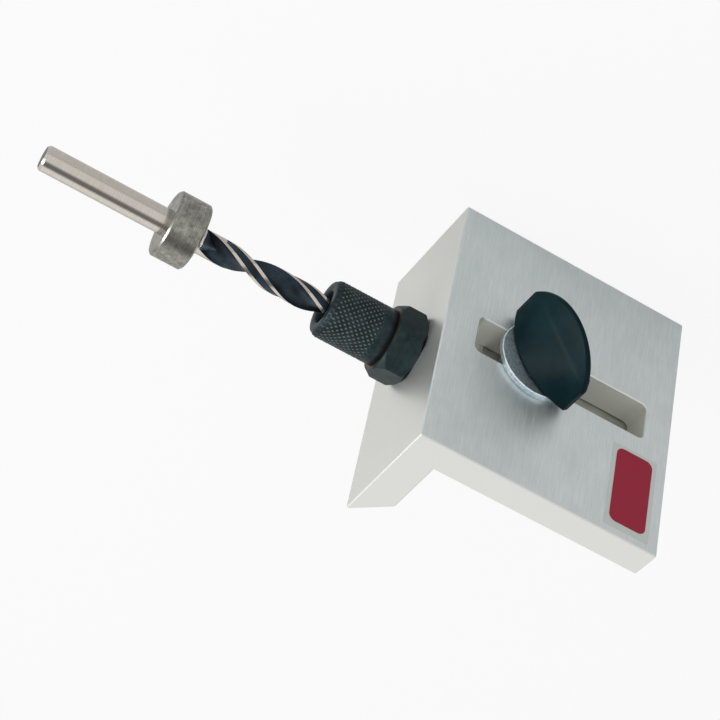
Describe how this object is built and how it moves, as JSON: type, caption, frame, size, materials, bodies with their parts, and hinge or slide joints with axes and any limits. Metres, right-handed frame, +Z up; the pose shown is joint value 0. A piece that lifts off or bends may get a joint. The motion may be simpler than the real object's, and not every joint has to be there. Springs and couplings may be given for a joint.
{
  "type": "drilling jig",
  "caption": "Aluminium angle jig with a knurled guide bush, a twist drill with a stop collar, and a sliding stop clamped in a slot by a wing knob.",
  "frame": {"origin": "on the flat L-shaped side the jig lies on, below the drill's axis, in the middle of the leg's thickness", "axes": "+X is the drill's feed direction, +Y points out of the plate on the knob's side, +Z is up along the jig's width"},
  "size_m": [0.1521, 0.0492, 0.07],
  "materials": {
    "aluminium": "brushed",
    "black_steel": "black oxide",
    "tool_steel": "ground, with black flutes",
    "ground_steel": "turned",
    "dark_steel": "satin",
    "zinc_steel": "zinc plated",
    "knob_plastic": "satin"
  },
  "bodies": {
    "angle": {"angle_body": "aluminium"},
    "bush": {"drill_bush": "black_steel"},
    "nut": {"lock_nut": "black_steel"},
    "drill": {"twist_drill": "tool_steel"},
    "collar": {"stop_collar": "ground_steel"},
    "grub": {"collar_screw": "black_steel"},
    "stop": {"stop_slider": "dark_steel", "groove_tongue": "dark_steel", "tongue_screws": "zinc_steel", "clamp_washer": "zinc_steel"},
    "knob": {"clamp_knob": "knob_plastic", "clamp_stud": "zinc_steel"}
  },
  "joints": [
    {"name": "bush_turn", "type": "hinge", "parent": "angle", "child": "bush", "pos_m": [0, 0, 0.035], "axis": [1, 0, 0], "range_deg": [-360, 0]},
    {"name": "nut_turn", "type": "hinge", "parent": "angle", "child": "nut", "pos_m": [0, 0, 0.035], "axis": [1, 0, 0], "range_deg": [-360, 0]},
    {"name": "drill_plunge", "type": "slide", "parent": "angle", "child": "collar", "axis": [1, 0, 0], "range_m": [-0.012, 0.0323]},
    {"name": "drill_set", "type": "slide", "parent": "collar", "child": "drill", "axis": [1, 0, 0], "range_m": [-0.024, 0.024]},
    {"name": "grub_turn", "type": "hinge", "parent": "collar", "child": "grub", "pos_m": [-0.06255, 0, 0.035], "axis": [0, -0.7071, -0.7071], "range_deg": [0, 360]},
    {"name": "stop_slide", "type": "slide", "parent": "angle", "child": "stop", "axis": [1, 0, 0], "range_m": [-0.0059, 0.0236]},
    {"name": "knob_turn", "type": "hinge", "parent": "stop", "child": "knob", "pos_m": [0.0199, 0.0155, 0.035], "axis": [0, 1, 0], "range_deg": [0, 360]}
  ]
}
